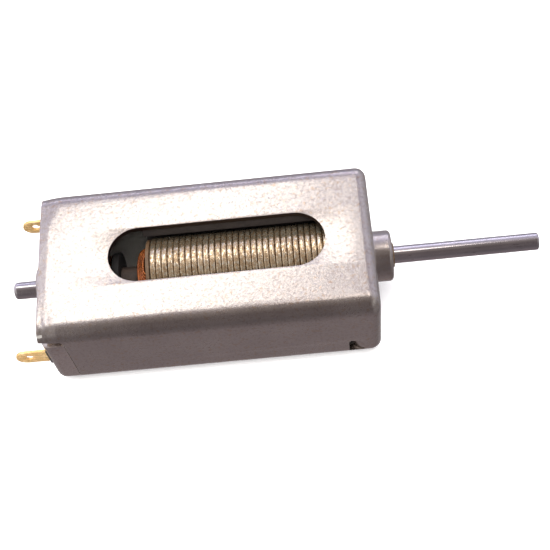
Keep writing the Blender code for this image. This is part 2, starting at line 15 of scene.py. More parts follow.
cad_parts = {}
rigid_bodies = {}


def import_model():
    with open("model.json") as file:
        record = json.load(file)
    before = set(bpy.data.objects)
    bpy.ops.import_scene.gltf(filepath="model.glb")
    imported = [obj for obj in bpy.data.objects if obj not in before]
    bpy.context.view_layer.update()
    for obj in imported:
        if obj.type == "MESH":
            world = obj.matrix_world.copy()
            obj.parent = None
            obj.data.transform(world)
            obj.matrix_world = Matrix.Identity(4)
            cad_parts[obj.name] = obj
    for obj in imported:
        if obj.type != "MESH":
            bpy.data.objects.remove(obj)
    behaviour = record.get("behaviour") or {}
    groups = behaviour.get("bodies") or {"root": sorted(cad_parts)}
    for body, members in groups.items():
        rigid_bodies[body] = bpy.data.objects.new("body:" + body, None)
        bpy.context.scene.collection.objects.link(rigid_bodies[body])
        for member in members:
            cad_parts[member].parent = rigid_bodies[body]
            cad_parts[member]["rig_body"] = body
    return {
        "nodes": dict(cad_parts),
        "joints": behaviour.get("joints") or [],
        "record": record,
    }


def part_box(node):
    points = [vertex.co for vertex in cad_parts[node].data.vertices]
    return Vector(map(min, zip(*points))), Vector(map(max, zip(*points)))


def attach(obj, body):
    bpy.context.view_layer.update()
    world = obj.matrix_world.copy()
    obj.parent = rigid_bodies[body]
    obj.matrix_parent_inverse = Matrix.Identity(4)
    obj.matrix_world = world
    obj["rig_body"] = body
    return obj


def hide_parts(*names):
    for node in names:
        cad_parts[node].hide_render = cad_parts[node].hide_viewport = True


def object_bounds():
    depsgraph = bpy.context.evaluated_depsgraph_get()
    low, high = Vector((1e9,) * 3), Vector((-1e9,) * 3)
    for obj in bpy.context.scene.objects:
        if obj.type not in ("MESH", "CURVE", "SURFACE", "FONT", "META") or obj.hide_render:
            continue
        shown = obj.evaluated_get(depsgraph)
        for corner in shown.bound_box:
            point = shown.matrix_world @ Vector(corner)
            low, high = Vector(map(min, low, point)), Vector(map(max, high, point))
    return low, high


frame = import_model()
cad_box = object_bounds()

# Sizes are in millimetres unless a comment says otherwise. GAP is the clearance between neighbours, and a
# cutter that has to leave the motor reaches out to BEYOND_Y or BEYOND_Z. Edges sharper than SMOOTH stay
# sharp, and a bevel takes those sharper than BEVEL_FROM.
MM = 0.001
GAP = 0.05
POLES = 3
SMOOTH = math.radians(32)
BEVEL_FROM = math.radians(38)
SIDES = (("left", -1), ("right", 1))
BEYOND_Y = 12
BEYOND_Z = 9

# Can
BOSS_PROUD = 2.13
BOSS_RADIUS = 2.925
BOSS_HOLE = 1.65
BUSH_POCKET = 2.2
SHEET = 0.7
CAN_CORNER = 1.94
FRONT_ROUND = 1.2
WINDOW_WIDTH = 6.84
WINDOW_FRONT = 5.26
WINDOW_REAR = 29.61
SIDE_WALL_END = 34.75
LIP_EDGE_FRONT = 4.2
LIP_EDGE_REAR = 4.4
LIP_CREASE = 36.5
BOTTOM_TAB_HALF = 5.5
LANCE = ((2.0, 3.7), (-4.6, -1.8))  # depths and heights of a magnet stop's opening
SCREW_OFFSET = 6.0
SCREW_RADIUS = 0.8

# Rear cover
COVER_TOP = 4.85
COVER_TOP_HALF = 8.74
COVER_STEP = 3.6
COVER_SHEET = 0.5
COVER_FACE = 37.45
REAR_BOSS_RADIUS = 2.7
COVER_ROUND = 1.1

# Holder: the sleeves round the terminals, and the slots in them
SLEEVE_INNER = 8.2
SLEEVE_OUTER = 8.91
SLEEVE_HALF = 1.51
BLADE_SLOT = (8.385, 8.815)
BLADE_SLOT_HALF = 1.25

# Armature
POLE_HALF_SPAN = math.radians(54)
TOOTH_HALF = 1.0
HUB_RADIUS = 1.9
SHOE_ROOT = 3.5
SHOE_TIP = 4.0
FIXED_BORE = 1.03
WIRE = 0.15  # radius
COIL_INNER = 1.06
COIL_OUTER = 2.9
COIL_SPAN = COIL_OUTER - COIL_INNER

# Values of the face attribute that marks painted light on the can: its inner side, painted a light matt grey
# as a painted haze over the shade inside it, and the windows' punched edges, painted near-black as painted
# shade
INNER_HAZE = 0.5
PUNCHED_SHADE = 1.0

# The shaft's height in metres
AXIS_Z = frame["joints"][0]["pos_m"][2]


def in_mm(node):
    """A node's lowest and highest corners in millimetres, with Z counted from the shaft's axis."""
    low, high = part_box(node)
    axis = Vector((0, 0, AXIS_Z))
    return (low - axis) / MM, (high - axis) / MM


CAN_LOW, CAN_HIGH = in_mm("can")
FACE_X = CAN_HIGH.x - BOSS_PROUD
HALF_WIDTH = CAN_HIGH.y
HALF_HEIGHT = CAN_HIGH.z
CAN_LENGTH = FACE_X - CAN_LOW.x


def depths(node):
    """The depths at which a node starts and ends."""
    low, high = in_mm(node)
    return FACE_X - high.x, FACE_X - low.x


def along(depth):
    """World X, in millimetres, of a depth behind the can's front face."""
    return FACE_X - depth


# ---------------------------------------------------------------- materials


def shader_material(name):
    """A new node material and its Principled shader."""
    material = bpy.data.materials.new(name)
    material.use_nodes = True
    return material, material.node_tree, material.node_tree.nodes["Principled BSDF"]


def noise_fac(tree, size, detail, rough, stretch=(1, 1, 1)):
    """Noise whose features are about size millimetres across, stretched along the axes by stretch."""
    nodes, links = tree.nodes, tree.links
    where = nodes.new("ShaderNodeTexCoord")
    mapping = nodes.new("ShaderNodeMapping")
    mapping.inputs["Scale"].default_value = [1 / s for s in stretch]
    links.new(where.outputs["Object"], mapping.inputs["Vector"])
    texture = nodes.new("ShaderNodeTexNoise")
    texture.inputs["Scale"].default_value = 1 / (size * MM)
    texture.inputs["Detail"].default_value = detail
    texture.inputs["Roughness"].default_value = rough
    links.new(mapping.outputs["Vector"], texture.inputs["Vector"])
    return texture.outputs["Fac"]


def ramp(tree, fac, stops):
    """A colour ramp over a factor, from (position, colour) stops."""
    node = tree.nodes.new("ShaderNodeValToRGB")
    elements = node.color_ramp.elements
    while len(elements) < len(stops):
        elements.new(0.5)
    for element, (place, colour) in zip(elements, stops):
        element.position = place
        element.color = (*colour, 1.0) if hasattr(colour, "__len__") else (colour, colour, colour, 1.0)
    tree.links.new(fac, node.inputs["Fac"])
    return node.outputs["Color"]


def mix(tree, fac, first, second, mode="MIX"):
    """Mixes two colours, each a socket or a colour, by a factor."""
    node = tree.nodes.new("ShaderNodeMix")
    node.data_type = "RGBA"
    node.blend_type = mode
    for socket, value in ((node.inputs[0], fac), (node.inputs[6], first), (node.inputs[7], second)):
        if isinstance(value, bpy.types.NodeSocket):
            tree.links.new(value, socket)
        elif hasattr(value, "__len__"):
            socket.default_value = (*value, 1.0)
        else:
            socket.default_value = value
    return node.outputs[2]


def add_bump(tree, shader, layers):
    """Stacks bump layers, each (height, strength, distance in millimetres), onto the shader's normal."""
    previous = None
    for height, strength, distance in layers:
        node = tree.nodes.new("ShaderNodeBump")
        node.inputs["Strength"].default_value = strength
        node.inputs["Distance"].default_value = distance * MM
        tree.links.new(height, node.inputs["Height"])
        if previous:
            tree.links.new(previous, node.inputs["Normal"])
        previous = node.outputs["Normal"]
    tree.links.new(previous, shader.inputs["Normal"])


def dress(tree, shader, colour, gloss, metallic, layers):
    """Gives a shader its colour, its roughness, its metallic value and its bump layers."""
    tree.links.new(colour, shader.inputs["Base Color"])
    tree.links.new(gloss, shader.inputs["Roughness"])
    shader.inputs["Metallic"].default_value = metallic
    add_bump(tree, shader, layers)


def finish_material(name, colours, rough, metallic, grain, bump, depth, patch=2.5, streak=None):
    """A worn surface: two patchy colours with a third as speckle, uneven gloss, and fine relief."""
    material, tree, shader = shader_material(name)
    patches = noise_fac(tree, patch, 5.0, 0.6)
    grains = noise_fac(tree, grain, 6.0, 0.7)
    colour = ramp(tree, patches, ((0.35, colours[0]), (0.65, colours[1])))
    speckle = ramp(tree, grains, ((0.52, 0.0), (0.68, 1.0)))
    colour = mix(tree, speckle, colour, colours[2])
    layers = [(grains, bump, depth)]
    gloss = grains
    if streak:
        size, stretch = streak
        lines = noise_fac(tree, size, 4.0, 0.6, stretch)
        full_range = ((0.3, 0.0), (0.7, 1.0))
        gloss = mix(tree, 0.5, ramp(tree, grains, full_range), ramp(tree, lines, full_range))
        colour = mix(tree, ramp(tree, lines, ((0.45, 0.0), (0.75, 0.35))), colour, colours[2])
        layers.append((lines, bump, depth))
    dress(tree, shader, colour, ramp(tree, gloss, ((0.25, rough[0]), (0.75, rough[1]))), metallic, layers)
    return material


def plated_steel(name, tone=1.0):
    """Dull nickel plate over drawn steel, with a pinkish grain and golden and lavender flecks.

    Faces marked as the windows' punched edges, unplated steel, are painted near-black as painted shade, and
    those marked as the can's inner side a light matt grey as a painted haze over the shade inside the can.
    """
    material, tree, shader = shader_material(name)
    patches = noise_fac(tree, 5.0, 4.0, 0.6)
    grains = noise_fac(tree, 0.34, 5.0, 0.75)
    flecks = noise_fac(tree, 0.55, 3.0, 0.7)
    drawn = noise_fac(tree, 0.16, 4.0, 0.6, (9, 1, 1))
    tints = [tuple(min(1.0, tone * c) for c in rgb) for rgb in ((0.62, 0.575, 0.545), (0.70, 0.66, 0.625))]
    colour = ramp(tree, patches, ((0.32, tints[0]), (0.68, tints[1])))
    colour = mix(tree, ramp(tree, grains, ((0.52, 0.0), (0.62, 0.55))), colour, (0.45, 0.375, 0.335))
    colour = mix(tree, ramp(tree, flecks, ((0.57, 0.0), (0.66, 0.5))), colour, (0.60, 0.45, 0.32))
    colour = mix(tree, ramp(tree, flecks, ((0.32, 0.3), (0.40, 0.0))), colour, (0.49, 0.45, 0.53))
    haze_and_shade = tree.nodes.new("ShaderNodeAttribute")
    haze_and_shade.attribute_name = "haze_and_shade"
    painted_mask = ramp(tree, haze_and_shade.outputs["Fac"], ((0.0, 0.0), (INNER_HAZE, 1.0)))
    # Painted light: the can's inner side gets a light matt grey as a painted haze over its shade, and the
    # punched edges near-black as painted shade
    painted_tone = ramp(tree, haze_and_shade.outputs["Fac"], ((INNER_HAZE, (0.36, 0.34, 0.31)), (PUNCHED_SHADE, (0.10, 0.08, 0.072))))
    colour = mix(tree, painted_mask, colour, painted_tone)
    tree.links.new(colour, shader.inputs["Base Color"])
    gloss = mix(tree, 0.35, grains, patches)
    gloss = ramp(tree, gloss, ((0.35, 0.17), (0.65, 0.29)))
    tree.links.new(mix(tree, painted_mask, gloss, (0.6, 0.6, 0.6)), shader.inputs["Roughness"])
    metal = ramp(tree, haze_and_shade.outputs["Fac"], ((0.0, 1.0), (INNER_HAZE, 0.0), (PUNCHED_SHADE, 1.0)))
    tree.links.new(metal, shader.inputs["Metallic"])
    add_bump(tree, shader, [(grains, 0.45, 0.035), (drawn, 0.25, 0.012), (patches, 0.3, 0.12)])
    return material


def stack_steel():
    """Punched sheet edges: golden oxide over steel, torn into bright spots and brown hollows."""
    material, tree, shader = shader_material("lamination_finish")
    patches = noise_fac(tree, 1.4, 4.0, 0.65)
    tears = noise_fac(tree, 0.24, 3.0, 0.6, (1, 1.7, 1.7))
    oxide = ((0.3, (0.54, 0.39, 0.23)), (0.5, (0.72, 0.55, 0.35)), (0.72, (0.85, 0.70, 0.48)))
    colour = ramp(tree, patches, oxide)
    colour = mix(tree, ramp(tree, tears, ((0.36, 0.55), (0.47, 0.0))), colour, (0.30, 0.18, 0.095))
    colour = mix(tree, ramp(tree, tears, ((0.52, 0.0), (0.60, 0.85))), colour, (0.99, 0.92, 0.74))
    gloss = ramp(tree, tears, ((0.42, 0.36), (0.56, 0.10)))
    dress(tree, shader, colour, gloss, 0.92, [(tears, 0.8, 0.032), (patches, 0.3, 0.05)])
    return material


def ground_steel():
    """Ground and rolled shaft steel with fine rings and a faint oily bloom."""
    material, tree, shader = shader_material("shaft_finish")
    rings = noise_fac(tree, 0.09, 3.0, 0.6, (1, 14, 14))
    bloom = noise_fac(tree, 2.2, 4.0, 0.6, (2.5, 1, 1))
    nicks = noise_fac(tree, 0.3, 3.0, 0.6, (5, 1, 1))
    colour = ramp(tree, bloom, ((0.35, (0.66, 0.64, 0.67)), (0.65, (0.76, 0.73, 0.75))))
    colour = mix(tree, ramp(tree, nicks, ((0.62, 0.0), (0.7, 0.5))), colour, (0.30, 0.27, 0.26))
    gloss = ramp(tree, rings, ((0.3, 0.1), (0.7, 0.18)))
    dress(tree, shader, colour, gloss, 1.0, [(rings, 0.18, 0.004), (nicks, 0.1, 0.004)])
    return material


def enamel():
    """Copper under clear orange-brown enamel, in patchy tones kept darker than bright copper as painted shade
    for the shadow that the windings lie in.
    """
    material, tree, shader = shader_material("enamelled_copper_finish")
    tint = noise_fac(tree, 0.8, 4.0, 0.6)
    # Both tones are darkened as painted shade for the windings' shadow inside the can
    colour = ramp(tree, tint, ((0.3, (0.23, 0.052, 0.013)), (0.7, (0.58, 0.175, 0.038))))
    fine = noise_fac(tree, 0.12, 3.0, 0.6)
    dress(tree, shader, colour, ramp(tree, fine, ((0.3, 0.2), (0.7, 0.34))), 0.85, [(fine, 0.12, 0.006)])
    shader.inputs["Coat Weight"].default_value = 0.6
    shader.inputs["Coat Roughness"].default_value = 0.12
    return material


def make_materials():
    """Every finish, by the record's slot. After its colours come its roughness range and metallic value."""
    return {
        "plated_steel": plated_steel("plated_steel_finish"),
        "lamination_steel": stack_steel(),
        "ground_steel": ground_steel(),
        "enamelled_copper": enamel(),
        # Black nylon, lightened as a painted haze over the shade inside the can
        "black_nylon": finish_material(
            "holder_finish", ((0.040, 0.037, 0.035), (0.055, 0.051, 0.049), (0.08, 0.074, 0.07)),
            (0.58, 0.74), 0.0, grain=0.12, bump=0.3, depth=0.012),
        "sintered_bronze": finish_material(
            "bush_finish", ((0.30, 0.20, 0.12), (0.42, 0.30, 0.18), (0.16, 0.10, 0.06)),
            (0.36, 0.55), 0.9, grain=0.12, patch=1.0, bump=0.5, depth=0.02),
        "terminal_brass": finish_material(
            "terminal_finish", ((0.84, 0.52, 0.19), (0.90, 0.62, 0.27), (0.96, 0.76, 0.42)),
            (0.20, 0.34), 0.45, grain=0.9, patch=2.6, streak=(0.2, (12, 1, 1)), bump=0.08, depth=0.004),
        "spring_bronze": finish_material(
            "leaf_finish", ((0.62, 0.34, 0.16), (0.74, 0.46, 0.24), (0.84, 0.62, 0.4)),
            (0.25, 0.4), 1.0, grain=0.2, patch=1.0, streak=(0.08, (8, 1, 1)), bump=0.2, depth=0.006),
        "carbon": finish_material(
            "brush_finish", ((0.020, 0.019, 0.018), (0.035, 0.032, 0.030), (0.09, 0.07, 0.055)),
            (0.4, 0.6), 0.3, grain=0.08, patch=0.6, bump=0.4, depth=0.01),
        # Dark grey ferrite, lightened as a painted haze over the shade inside the can
        "ferrite": finish_material(
            "magnet_finish", ((0.055, 0.048, 0.046), (0.075, 0.066, 0.064), (0.11, 0.095, 0.09)),
            (0.5, 0.68), 0.1, grain=0.14, patch=1.6, bump=0.45, depth=0.02),
        "spring_wire": finish_material(
            "spring_finish", ((0.34, 0.34, 0.36), (0.44, 0.43, 0.44), (0.58, 0.57, 0.56)),
            (0.24, 0.38), 1.0, grain=0.1, patch=1.0, streak=(0.06, (10, 1, 1)), bump=0.15, depth=0.004),
        # Dark brown fibre, darkened further as painted shade at the stack's ends
        "insulating_fibre": finish_material(
            "fibre_finish", ((0.07, 0.040, 0.020), (0.11, 0.065, 0.033), (0.16, 0.10, 0.055)),
            (0.45, 0.65), 0.0, grain=0.15, patch=0.9, streak=(0.1, (1, 5, 1)), bump=0.35, depth=0.015),
        "commutator_moulding": finish_material(
            "moulding_finish", ((0.024, 0.018, 0.015), (0.050, 0.034, 0.026), (0.075, 0.052, 0.040)),
            (0.6, 0.75), 0.0, grain=0.12, patch=0.8, bump=0.3, depth=0.012),
        "segment_copper": finish_material(
            "segment_finish", ((0.58, 0.27, 0.14), (0.72, 0.38, 0.22), (0.30, 0.14, 0.08)),
            (0.2, 0.4), 1.0, grain=0.2, patch=0.7, streak=(0.06, (1, 8, 8)), bump=0.25, depth=0.008),
        "washer_nylon": finish_material(
            "washer_finish", ((0.58, 0.55, 0.47), (0.68, 0.65, 0.57), (0.45, 0.41, 0.34)),
            (0.4, 0.55), 0.0, grain=0.2, patch=0.8, bump=0.2, depth=0.008),
        # Near-black, darker than the ceramic's own dark grey, as painted shade inside the can
        "varistor_ceramic": finish_material(
            "varistor_finish", ((0.011, 0.010, 0.010), (0.016, 0.015, 0.014), (0.026, 0.024, 0.022)),
            (0.7, 0.85), 0.0, grain=0.1, patch=0.7, bump=0.35, depth=0.012),
    }


FINISHES = make_materials()
COVER_FINISH = plated_steel("cover_steel_finish", 1.2)
SLOT_OF = {entry["node"]: entry["material_slot"] for entry in frame["record"]["subparts"]}


# ---------------------------------------------------------------- mesh tools


def mesh_object(name, bm):
    """A bmesh in millimetres about the shaft's axis, as an object in metres in the row frame."""
    bm.normal_update()
    bmesh.ops.recalc_face_normals(bm, faces=bm.faces)
    bmesh.ops.scale(bm, vec=(MM, MM, MM), verts=bm.verts)
    bmesh.ops.translate(bm, vec=(0, 0, AXIS_Z), verts=bm.verts)
    mesh = bpy.data.meshes.new(name)
    bm.to_mesh(mesh)
    bm.free()
    made = bpy.data.objects.new(name, mesh)
    bpy.context.scene.collection.objects.link(made)
    return made


def baked(made):
    """Puts the result of an object's modifiers into its own mesh."""
    graph = bpy.context.evaluated_depsgraph_get()
    mesh = bpy.data.meshes.new_from_object(made.evaluated_get(graph), depsgraph=graph)
    old = made.data
    made.modifiers.clear()
    made.data = mesh
    bpy.data.meshes.remove(old)


def carve(made, cutters):
    """Cuts each cutter's bmesh from an object for good."""
    tools = []
    for index, bm in enumerate(cutters):
        tool = mesh_object(f"{made.name}_tool_{index}", bm)
        tools.append(tool)
        modifier = made.modifiers.new(tool.name, "BOOLEAN")
        modifier.operation = "DIFFERENCE"
        modifier.solver = "EXACT"
        modifier.object = tool
    baked(made)
    for tool in tools:
        mesh = tool.data
        bpy.data.objects.remove(tool)
        bpy.data.meshes.remove(mesh)


def settle(made, nodes, bevel=0.0, segments=2, smooth=SMOOTH, finish=None):
    """Softens an object's edges, gives it its finish, and ties it to the CAD nodes that it stands for."""
    if bevel:
        modifier = made.modifiers.new("bevel", "BEVEL")
        modifier.width = bevel * MM
        modifier.segments = segments
        modifier.limit_method = "ANGLE"
        modifier.angle_limit = BEVEL_FROM
        baked(made)
    made.data.shade_smooth()
    made.data.set_sharp_from_angle(angle=smooth)
    slot = SLOT_OF[nodes[0]]
    made.data.materials.clear()
    made.data.materials.append(finish or FINISHES[slot])
    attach(made, frame["nodes"][nodes[0]]["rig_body"])
    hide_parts(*nodes)


def loft(rings, round_trip):
    """A bmesh skinned over rings of equally many points: a closed loop, or an open run with two caps."""
    bm = bmesh.new()
    made = [[bm.verts.new(point) for point in ring] for ring in rings]
    pairs = list(zip(made, made[1:]))
    if round_trip:
        pairs.append((made[-1], made[0]))
    for here, there in pairs:
        for i in range(len(here)):
            j = (i + 1) % len(here)
            bm.faces.new((here[i], here[j], there[j], there[i]))
    if not round_trip:
        bm.faces.new(made[0])
        bm.faces.new(made[-1])
    return bm


def turned(profile, steps=72, start=0.0, sweep=math.tau):
    """A closed profile of (depth, radius) points turned about the shaft's axis."""
    whole = math.isclose(sweep, math.tau)
    rings = []
    for k in range(steps if whole else steps + 1):
        angle = start + sweep * k / steps
        rings.append([(along(d), r * math.cos(angle), r * math.sin(angle)) for d, r in profile])
    return loft(rings, whole)


def eased(profile, radius):
    """A closed profile with each corner replaced by a small round."""
    steps = 2
    result = []
    count = len(profile)
    for i, point in enumerate(profile):
        here = Vector(point)
        before, after = Vector(profile[i - 1]), Vector(profile[(i + 1) % count])
        reach = min(radius, (before - here).length * 0.4, (after - here).length * 0.4)
        first = here + (before - here).normalized() * reach
        last = here + (after - here).normalized() * reach
        for k in range(steps + 1):
            t = k / steps
            spot = first.lerp(here, t).lerp(here.lerp(last, t), t)
            result.append((spot.x, spot.y))
    return result


def tube(front, rear, outer, inner=FIXED_BORE):
    """A turned ring between two depths with its edges eased."""
    return turned(eased([(front, inner), (front, outer), (rear, outer), (rear, inner)], 0.06))


def prism(outline, front, rear, hole=None):
    """An outline of (y, z) points, with a hole if one is given, extruded between two depths."""
    bm = bmesh.new()
    edges = []
    for points in [outline] if hole is None else [outline, hole]:
        verts = [bm.verts.new((along(front), y, z)) for y, z in points]
        edges += [bm.edges.new((verts[i], verts[(i + 1) % len(verts)])) for i in range(len(verts))]
    bmesh.ops.triangle_fill(bm, use_beauty=True, use_dissolve=False, edges=edges)
    if hole is None:
        bmesh.ops.dissolve_limit(bm, angle_limit=0.01, verts=bm.verts, edges=bm.edges)
    grown = bmesh.ops.extrude_face_region(bm, geom=list(bm.faces))
    moved = [item for item in grown["geom"] if isinstance(item, bmesh.types.BMVert)]
    bmesh.ops.translate(bm, vec=(front - rear, 0, 0), verts=moved)
    return bm


def plate(outline, low, high, axis, hole=None):
    """An outline of (depth, other) points extruded along Y or Z between low and high."""
    bm = prism(outline, 0, 1, hole)
    for vert in bm.verts:
        depth, other = vert.co.y, vert.co.z
        level = low if vert.co.x > along(0.5) else high
        vert.co = (along(depth), level, other) if axis == "Y" else (along(depth), other, level)
    return bm


def box(depth_pair, ys, zs):
    """A box between pairs of depths, Y and Z."""
    outline = [(ys[0], zs[0]), (ys[1], zs[0]), (ys[1], zs[1]), (ys[0], zs[1])]
    return prism(outline, *depth_pair)


def arc(radius, start, end, steps, centre=(0.0, 0.0)):
    """Points along an arc, both ends included."""
    angles = [start + (end - start) * k / steps for k in range(steps + 1)]
    return [(centre[0] + radius * math.cos(a), centre[1] + radius * math.sin(a)) for a in angles]


def circle(radius, steps, centre=(0.0, 0.0)):
    """Points round a full circle."""
    return arc(radius, 0, math.tau, steps, centre)[:-1]


def quarter_round(radius, steps):
    """Points of a quarter round, from its side to its face, as distances in from its face and its side."""
    angles = [math.pi / 2 * k / steps for k in range(steps + 1)]
    return [(radius * (1 - math.sin(a)), radius * (1 - math.cos(a))) for a in angles]


def on_side(low, high, sign):
    """A pair of distances to the left or right of the axis, low before high."""
    return (low, high) if sign > 0 else (-high, -low)


def both_halves(right):
    """A closed outline from its right half, given from the bottom up."""
    return right + [(-y, z) for y, z in reversed(right)]


def rounded_outline(half_width, half_height, corner, arc_steps=10, flat_steps=9):
    """A rounded rectangle, anticlockwise from the middle of its bottom, with points along its long flats."""
    y, z = half_width - corner, half_height - corner
    flat = [(y * (k + 0.5) / flat_steps, -half_height) for k in range(flat_steps)]
    right = flat + arc(corner, -math.pi / 2, 0, arc_steps, (y, -z))
    right += [(half_width, z * k / 4) for k in (-3, -1, 1, 3)]
    right += arc(corner, 0, math.pi / 2, arc_steps, (y, z))
    right += [(flat_y, half_height) for flat_y, _ in reversed(flat)]
    return both_halves(right)


def even_ring(depth, radius, count):
    """A circle of points in step with an outline that starts at the middle of its bottom."""
    angles = [math.tau * (i + 0.5) / count - math.pi / 2 for i in range(count)]
    return [(along(depth), radius * math.cos(a), radius * math.sin(a)) for a in angles]


def boss_rings(base, end, radius, rounding, sheet, wall_face, count):
    """A drawn boss: a soft fillet off its wall, up its side, over its end, and back down the bush's pocket.

    The wall's outer face is at depth base and its inner face at wall_face; count is the points in a ring.
    """
    outward = math.copysign(1.0, end - base)
    fillet = quarter_round(0.18, 3)
    rings = [even_ring(base + outward * rise, radius + spread, count) for spread, rise in fillet]
    for back, inset in quarter_round(rounding, 7):
        rings.append(even_ring(end - outward * back, radius - inset, count))
    rings.append(even_ring(end, BOSS_HOLE + 0.08, count))
    rings.append(even_ring(end - outward * 0.08, BOSS_HOLE, count))
    rings.append(even_ring(end - outward * sheet, BOSS_HOLE, count))
    for level in (end - outward * sheet, wall_face):
        rings.append(even_ring(level, BUSH_POCKET, count))
    return rings


# ---------------------------------------------------------------- can and cover


def lip_ring(outline, depth):
    """An outline near the can's mouth, its top pressed down behind a crease that bows forward at its ends."""
    ring = []
    for y, z in outline:
        corner = min(1.0, max(0.0, (abs(y) - 4.2) / 3.6))
        corner = corner * corner * (3 - 2 * corner)
        crease = LIP_CREASE - 1.3 * corner
        press = max(0.0, (depth - crease) / (CAN_LENGTH - crease))
        sink = press * (0.17 + 0.09 * corner)
        wrinkle = noise.noise(Vector((depth * 1.7, y * 1.9, 3.1))) * 0.5
        wrinkle += noise.noise(Vector((depth * 4, y * 4, 1)))
        sink += press * (0.15 + corner) * 0.06 * wrinkle
        upper = min(1.0, max(0.0, (z - 3.4) / 0.8))
        inward = y * 0.012 * sink * upper
        ring.append((along(depth), y - inward, z - sink * upper))
    return ring


def can_rings():
    """Rings of the can's skin: the outside from its mouth to its boss, then the inside back to its mouth."""
    outside = rounded_outline(HALF_WIDTH, HALF_HEIGHT, CAN_CORNER)
    inside = rounded_outline(HALF_WIDTH - SHEET, HALF_HEIGHT - SHEET, CAN_CORNER - SHEET)
    levels = [CAN_LENGTH - 0.16 * k for k in range(15)]
    rings = [lip_ring(outside, depth) for depth in levels]
    for depth, inset in quarter_round(FRONT_ROUND, 8):
        outline = rounded_outline(HALF_WIDTH - inset, HALF_HEIGHT - inset, CAN_CORNER - inset)
        rings.append([(along(depth), y, z) for y, z in outline])
    rings += boss_rings(0.0, -BOSS_PROUD, BOSS_RADIUS, 0.45, BOSS_PROUD - 1.5, SHEET, len(outside))
    for depth, inset in reversed(quarter_round(FRONT_ROUND - 0.4, 4)):
        inset += SHEET
        outline = rounded_outline(HALF_WIDTH - inset, HALF_HEIGHT - inset, max(CAN_CORNER - inset, 0.3))
        rings.append([(along(SHEET + depth), y, z) for y, z in outline])
    return rings + [lip_ring(inside, depth) for depth in reversed(levels)]


def make_can():
    """The drawn steel can with its windows, cut-back side walls, screw holes and lanced magnet stops."""
    can = mesh_object("can_shell", loft(can_rings(), True))
    radius = WINDOW_WIDTH / 2
    stadium = arc(radius, -math.pi / 2, math.pi / 2, 32, (WINDOW_REAR - radius, 0))
    stadium += arc(radius, math.pi / 2, math.pi * 1.5, 32, (WINDOW_FRONT + radius, 0))
    past_end = CAN_LENGTH + 1
    slope = (LIP_EDGE_REAR - LIP_EDGE_FRONT) / (CAN_LENGTH - SIDE_WALL_END)
    side = [
        (SIDE_WALL_END, -BEYOND_Z),
        (SIDE_WALL_END, LIP_EDGE_FRONT - 0.35),
        (SIDE_WALL_END + 0.1, LIP_EDGE_FRONT - 0.1),
        (SIDE_WALL_END + 0.35, LIP_EDGE_FRONT + 0.12),
        (past_end, LIP_EDGE_FRONT + slope * (past_end - SIDE_WALL_END)),
        (past_end, -BEYOND_Z),
    ]
    cutters = [plate(stadium, -BEYOND_Z, BEYOND_Z, "Z")]
    for _, sign in SIDES:
        cutters.append(plate(side, *on_side(BOTTOM_TAB_HALF, BEYOND_Y, sign), "Y"))
        cutters.append(prism(circle(SCREW_RADIUS, 32, (sign * SCREW_OFFSET, 0)), -1, SHEET + 1))
        (front, rear), (low, high) = LANCE
        mouth = [(front, low), (rear, low), (rear, high - 0.25), (rear - 0.25, high)]
        mouth += [(front + 0.5, high - 0.2), (front, high - 0.9)]
        cutters.append(plate(mouth, *on_side(HALF_WIDTH - 1.7, BEYOND_Y, sign), "Y"))
    carve(can, cutters)
    settle(can, ["can"], bevel=0.05, segments=3)
    mark_haze_and_shade(can)


def mark_haze_and_shade(can):
    """Marks the windows' punched edges and the can's inner side for the plating's material, which paints them
    as painted shade and painted haze.
    """
    haze_and_shade = can.data.attributes.new("haze_and_shade", "FLOAT", "FACE")
    near, inner = 0.1, SHEET - 0.05
    for face in can.data.polygons:
        depth = FACE_X - face.center.x / MM
        across = abs(face.center.y) / MM
        up = abs(face.center.z - AXIS_Z) / MM
        slit = WINDOW_FRONT - near < depth < WINDOW_REAR + near and across < WINDOW_WIDTH / 2 + near
        if slit and abs(face.normal.z) < 0.5:
            # The windows' punched edges, painted near-black as painted shade
            haze_and_shade.data[face.index].value = PUNCHED_SHADE
        # The can's inner faces get the painted haze
        elif depth > inner and across < HALF_WIDTH - inner and up < HALF_HEIGHT - inner:
            haze_and_shade.data[face.index].value = INNER_HAZE


def make_lances():
    """The tongues pushed in from the can's side walls, which stop the magnets."""
    (front, rear), (low, high) = LANCE
    for hand, sign in SIDES:
        rings = []
        for k in range(9):
            t = k / 8
            depth = front - 0.1 + (rear - 0.1 - front) * t
            push = 0.03 + 1.12 * t * t
            top = high - 0.1 - 0.5 * (1 - t)
            rings.append([
                (along(depth), sign * (HALF_WIDTH - push), top),
                (along(depth), sign * (HALF_WIDTH - push - 0.02), low + 0.9),
                (along(depth), sign * (HALF_WIDTH - push - 0.2), low + 0.12),
                (along(depth), sign * (HALF_WIDTH - push - 0.75), low + 0.12),
                (along(depth), sign * (HALF_WIDTH - push - 0.55), top),
            ])
        stop = mesh_object(f"magnet_stop_{hand}", loft(rings, False))
        settle(stop, ["can"], bevel=0.05)


def cover_ring(depth, inset):
    """The cover's outline at an inset: full width below its steps, and inside the can's lip above them."""
    bottom, side, top = HALF_HEIGHT - 0.03 - inset, HALF_WIDTH - inset, COVER_TOP - inset
    shoulder = COVER_TOP_HALF - inset
    low_corner = CAN_CORNER - inset
    high_corner = max(1.2 - inset, 0.08)
    step = COVER_STEP - inset * 0.6
    y = side - low_corner
    right = [(y * k / 6, -bottom) for k in (0.5, 1.5, 2.5, 3.5, 4.5, 5.5)]
    right += arc(low_corner, -math.pi / 2, 0, 8, (y, low_corner - bottom))
    right += [(side, -1), (side, 1.5), (side, step), (shoulder, step + 0.02)]
    y = shoulder - high_corner
    right += arc(high_corner, 0, math.pi / 2, 8, (y, top - high_corner))
    right += [(y * k / 6, top) for k in (5.5, 4.5, 3.5, 2.5, 1.5, 0.5)]
    return [(along(depth), y, z) for y, z in both_halves(right)]


